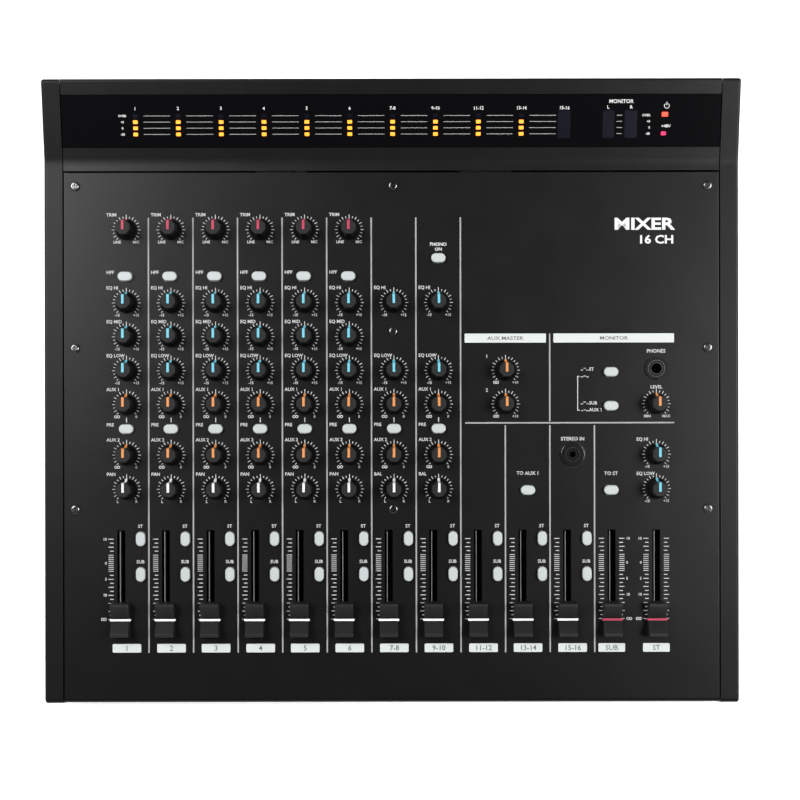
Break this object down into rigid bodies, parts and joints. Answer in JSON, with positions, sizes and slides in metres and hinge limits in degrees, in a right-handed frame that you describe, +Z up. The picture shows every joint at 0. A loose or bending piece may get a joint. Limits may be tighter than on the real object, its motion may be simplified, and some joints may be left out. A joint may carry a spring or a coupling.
{
  "type": "mixing console",
  "caption": "Desk-top audio mixing console: sloped black control panel with knobs, push buttons and faders, a dark meter bridge, side cheeks and rear sockets.",
  "frame": {"origin": "on the desk, under the centre of the whole object", "axes": "+Z up, +X to the user's right along the width, the user sits on the -Y side and the sockets face +Y"},
  "size_m": [0.4268, 0.3846, 0.1059],
  "materials": {
    "base_tray": "textured black powder coat",
    "control_panel": "fine matte black paint",
    "bridge_cover": "fine matte black paint",
    "meter_window": "polished smoked acrylic",
    "side_cheek_left": "fine moulded grain",
    "side_cheek_right": "fine moulded grain",
    "rear_panel": "textured black powder coat",
    "rubber_feet": "matte moulded rubber",
    "panel_screws": "black oxide",
    "case_screws": "black oxide",
    "control_board": "green solder mask",
    "fader_board": "green solder mask",
    "jack_board": "green solder mask",
    "meter_board": "green solder mask",
    "meter_leds": "diffused amber",
    "rotary_pots": "moulded",
    "slide_pots": "plated steel",
    "push_switches": "moulded",
    "panel_jacks": "moulded black",
    "mic_jacks": "moulded black",
    "line_jacks": "moulded black with a nut",
    "phono_jacks": "bright plated collars",
    "power_inlet": "moulded black",
    "power_supply": "laminated steel and components",
    "ribbon_cables": "grey flat cable",
    "channel_knobs": "soft matte black",
    "knob_aux_master_1": "soft matte black",
    "knob_aux_master_2": "soft matte black",
    "knob_monitor_level": "soft matte black",
    "knob_st_eq_hi": "soft matte black",
    "knob_st_eq_low": "soft matte black",
    "knob_1_trim": "soft matte black",
    "knob_1_eq_hi": "soft matte black",
    "knob_1_eq_mid": "soft matte black",
    "knob_1_eq_low": "soft matte black",
    "knob_1_aux_1": "soft matte black",
    "knob_1_aux_2": "soft matte black",
    "knob_1_pan": "soft matte black",
    "knob_9_10_aux_1": "soft matte black",
    "knob_9_10_aux_2": "soft matte black",
    "knob_9_10_pan": "soft matte black",
    "fader_1": "satin black with a line",
    "fader_2": "satin black with a line",
    "fader_3": "satin black with a line",
    "fader_4": "satin black with a line",
    "fader_5": "satin black with a line",
    "fader_6": "satin black with a line",
    "fader_7_8": "satin black with a line",
    "fader_9_10": "satin black with a line",
    "fader_11_12": "satin black with a line",
    "fader_13_14": "satin black with a line",
    "fader_15_16": "satin black with a line",
    "fader_sub": "satin black with a line",
    "fader_st": "satin black with a line",
    "hpf_buttons": "satin off-white",
    "pre_buttons": "satin off-white",
    "master_buttons": "satin off-white",
    "assign_st_buttons": "satin off-white",
    "assign_sub_buttons": "satin off-white",
    "power_rocker": "moulded black"
  },
  "bodies": {
    "root": {"base_tray": "base_tray", "control_panel": "control_panel", "bridge_cover": "bridge_cover", "meter_window": "meter_window", "side_cheek_left": "side_cheek_left", "side_cheek_right": "side_cheek_right", "rear_panel": "rear_panel", "rubber_feet": "rubber_feet", "panel_screws": "panel_screws", "case_screws": "case_screws", "control_board": "control_board", "fader_board": "fader_board", "jack_board": "jack_board", "meter_board": "meter_board", "meter_leds": "meter_leds", "rotary_pots": "rotary_pots", "slide_pots": "slide_pots", "push_switches": "push_switches", "panel_jacks": "panel_jacks", "mic_jacks": "mic_jacks", "line_jacks": "line_jacks", "phono_jacks": "phono_jacks", "power_inlet": "power_inlet", "power_supply": "power_supply", "ribbon_cables": "ribbon_cables", "channel_knobs": "channel_knobs"},
    "knob_aux_master_1": {"knob_aux_master_1": "knob_aux_master_1"},
    "knob_aux_master_2": {"knob_aux_master_2": "knob_aux_master_2"},
    "knob_monitor_level": {"knob_monitor_level": "knob_monitor_level"},
    "knob_st_eq_hi": {"knob_st_eq_hi": "knob_st_eq_hi"},
    "knob_st_eq_low": {"knob_st_eq_low": "knob_st_eq_low"},
    "knob_1_trim": {"knob_1_trim": "knob_1_trim"},
    "knob_1_eq_hi": {"knob_1_eq_hi": "knob_1_eq_hi"},
    "knob_1_eq_mid": {"knob_1_eq_mid": "knob_1_eq_mid"},
    "knob_1_eq_low": {"knob_1_eq_low": "knob_1_eq_low"},
    "knob_1_aux_1": {"knob_1_aux_1": "knob_1_aux_1"},
    "knob_1_aux_2": {"knob_1_aux_2": "knob_1_aux_2"},
    "knob_1_pan": {"knob_1_pan": "knob_1_pan"},
    "knob_9_10_aux_1": {"knob_9_10_aux_1": "knob_9_10_aux_1"},
    "knob_9_10_aux_2": {"knob_9_10_aux_2": "knob_9_10_aux_2"},
    "knob_9_10_pan": {"knob_9_10_pan": "knob_9_10_pan"},
    "fader_1": {"fader_1": "fader_1"},
    "fader_2": {"fader_2": "fader_2"},
    "fader_3": {"fader_3": "fader_3"},
    "fader_4": {"fader_4": "fader_4"},
    "fader_5": {"fader_5": "fader_5"},
    "fader_6": {"fader_6": "fader_6"},
    "fader_7_8": {"fader_7_8": "fader_7_8"},
    "fader_9_10": {"fader_9_10": "fader_9_10"},
    "fader_11_12": {"fader_11_12": "fader_11_12"},
    "fader_13_14": {"fader_13_14": "fader_13_14"},
    "fader_15_16": {"fader_15_16": "fader_15_16"},
    "fader_sub": {"fader_sub": "fader_sub"},
    "fader_st": {"fader_st": "fader_st"},
    "hpf_buttons": {"hpf_buttons": "hpf_buttons"},
    "pre_buttons": {"pre_buttons": "pre_buttons"},
    "master_buttons": {"master_buttons": "master_buttons"},
    "assign_st_buttons": {"assign_st_buttons": "assign_st_buttons"},
    "assign_sub_buttons": {"assign_sub_buttons": "assign_sub_buttons"},
    "power_rocker": {"power_rocker": "power_rocker"}
  },
  "joints": [
    {"name": "turn_aux_master_1", "type": "hinge", "parent": "root", "child": "knob_aux_master_1", "pos_m": [0.07005, 0.01005, 0.07301], "axis": [0, -0.1305, 0.9914], "range_deg": [-135, 135]},
    {"name": "turn_aux_master_2", "type": "hinge", "parent": "root", "child": "knob_aux_master_2", "pos_m": [0.07005, -0.01057, 0.0703], "axis": [0, -0.1305, 0.9914], "range_deg": [-135, 135]},
    {"name": "turn_monitor_level", "type": "hinge", "parent": "root", "child": "knob_monitor_level", "pos_m": [0.16275, -0.01057, 0.0703], "axis": [0, -0.1305, 0.9914], "range_deg": [-135, 135]},
    {"name": "turn_st_eq_hi", "type": "hinge", "parent": "root", "child": "knob_st_eq_hi", "pos_m": [0.16275, -0.0413, 0.06625], "axis": [0, -0.1305, 0.9914], "range_deg": [-135, 135]},
    {"name": "turn_st_eq_low", "type": "hinge", "parent": "root", "child": "knob_st_eq_low", "pos_m": [0.16275, -0.06222, 0.0635], "axis": [0, -0.1305, 0.9914], "range_deg": [-135, 135]},
    {"name": "turn_1_trim", "type": "hinge", "parent": "root", "child": "knob_1_trim", "pos_m": [-0.16295, 0.09591, 0.08432], "axis": [0, -0.1305, 0.9914], "range_deg": [-135, 135]},
    {"name": "turn_1_eq_hi", "type": "hinge", "parent": "root", "child": "knob_1_eq_hi", "pos_m": [-0.16295, 0.0514, 0.07846], "axis": [0, -0.1305, 0.9914], "range_deg": [-135, 135]},
    {"name": "turn_1_eq_mid", "type": "hinge", "parent": "root", "child": "knob_1_eq_mid", "pos_m": [-0.16295, 0.03078, 0.07574], "axis": [0, -0.1305, 0.9914], "range_deg": [-135, 135]},
    {"name": "turn_1_eq_low", "type": "hinge", "parent": "root", "child": "knob_1_eq_low", "pos_m": [-0.16295, 0.01005, 0.07301], "axis": [0, -0.1305, 0.9914], "range_deg": [-135, 135]},
    {"name": "turn_1_aux_1", "type": "hinge", "parent": "root", "child": "knob_1_aux_1", "pos_m": [-0.16295, -0.01057, 0.0703], "axis": [0, -0.1305, 0.9914], "range_deg": [-135, 135]},
    {"name": "turn_1_aux_2", "type": "hinge", "parent": "root", "child": "knob_1_aux_2", "pos_m": [-0.16295, -0.0413, 0.06625], "axis": [0, -0.1305, 0.9914], "range_deg": [-135, 135]},
    {"name": "turn_1_pan", "type": "hinge", "parent": "root", "child": "knob_1_pan", "pos_m": [-0.16295, -0.06222, 0.0635], "axis": [0, -0.1305, 0.9914], "range_deg": [-135, 135]},
    {"name": "turn_9_10_aux_1", "type": "hinge", "parent": "root", "child": "knob_9_10_aux_1", "pos_m": [0.02885, -0.01057, 0.0703], "axis": [0, -0.1305, 0.9914], "range_deg": [-135, 135]},
    {"name": "turn_9_10_aux_2", "type": "hinge", "parent": "root", "child": "knob_9_10_aux_2", "pos_m": [0.02885, -0.0413, 0.06625], "axis": [0, -0.1305, 0.9914], "range_deg": [-135, 135]},
    {"name": "turn_9_10_pan", "type": "hinge", "parent": "root", "child": "knob_9_10_pan", "pos_m": [0.02885, -0.06222, 0.0635], "axis": [0, -0.1305, 0.9914], "range_deg": [-135, 135]},
    {"name": "slide_1", "type": "slide", "parent": "root", "child": "fader_1", "axis": [0, 0.9914, 0.1305], "range_m": [0, 0.0493]},
    {"name": "slide_2", "type": "slide", "parent": "root", "child": "fader_2", "axis": [0, 0.9914, 0.1305], "range_m": [0, 0.0493]},
    {"name": "slide_3", "type": "slide", "parent": "root", "child": "fader_3", "axis": [0, 0.9914, 0.1305], "range_m": [0, 0.0493]},
    {"name": "slide_4", "type": "slide", "parent": "root", "child": "fader_4", "axis": [0, 0.9914, 0.1305], "range_m": [0, 0.0493]},
    {"name": "slide_5", "type": "slide", "parent": "root", "child": "fader_5", "axis": [0, 0.9914, 0.1305], "range_m": [0, 0.0493]},
    {"name": "slide_6", "type": "slide", "parent": "root", "child": "fader_6", "axis": [0, 0.9914, 0.1305], "range_m": [0, 0.0493]},
    {"name": "slide_7_8", "type": "slide", "parent": "root", "child": "fader_7_8", "axis": [0, 0.9914, 0.1305], "range_m": [0, 0.0493]},
    {"name": "slide_9_10", "type": "slide", "parent": "root", "child": "fader_9_10", "axis": [0, 0.9914, 0.1305], "range_m": [0, 0.0493]},
    {"name": "slide_11_12", "type": "slide", "parent": "root", "child": "fader_11_12", "axis": [0, 0.9914, 0.1305], "range_m": [0, 0.0493]},
    {"name": "slide_13_14", "type": "slide", "parent": "root", "child": "fader_13_14", "axis": [0, 0.9914, 0.1305], "range_m": [0, 0.0493]},
    {"name": "slide_15_16", "type": "slide", "parent": "root", "child": "fader_15_16", "axis": [0, 0.9914, 0.1305], "range_m": [0, 0.0493]},
    {"name": "slide_sub", "type": "slide", "parent": "root", "child": "fader_sub", "axis": [0, 0.9914, 0.1305], "range_m": [0, 0.0493]},
    {"name": "slide_st", "type": "slide", "parent": "root", "child": "fader_st", "axis": [0, 0.9914, 0.1305], "range_m": [0, 0.0493]},
    {"name": "press_hpf", "type": "slide", "parent": "root", "child": "hpf_buttons", "axis": [0, -0.1305, 0.9914], "range_m": [-0.002, 0], "stiffness_N_per_m": 400, "springref_m": 0.001},
    {"name": "press_pre", "type": "slide", "parent": "root", "child": "pre_buttons", "axis": [0, -0.1305, 0.9914], "range_m": [-0.002, 0], "stiffness_N_per_m": 400, "springref_m": 0.001},
    {"name": "press_master", "type": "slide", "parent": "root", "child": "master_buttons", "axis": [0, -0.1305, 0.9914], "range_m": [-0.002, 0], "stiffness_N_per_m": 400, "springref_m": 0.001},
    {"name": "press_assign_st", "type": "slide", "parent": "root", "child": "assign_st_buttons", "axis": [0, -0.1305, 0.9914], "range_m": [-0.002, 0], "stiffness_N_per_m": 400, "springref_m": 0.001},
    {"name": "press_assign_sub", "type": "slide", "parent": "root", "child": "assign_sub_buttons", "axis": [0, -0.1305, 0.9914], "range_m": [-0.002, 0], "stiffness_N_per_m": 400, "springref_m": 0.001},
    {"name": "power_switch", "type": "hinge", "parent": "root", "child": "power_rocker", "pos_m": [0.181, 0.1801, 0.03], "axis": [1, 0, 0], "range_deg": [-24, 0]}
  ]
}
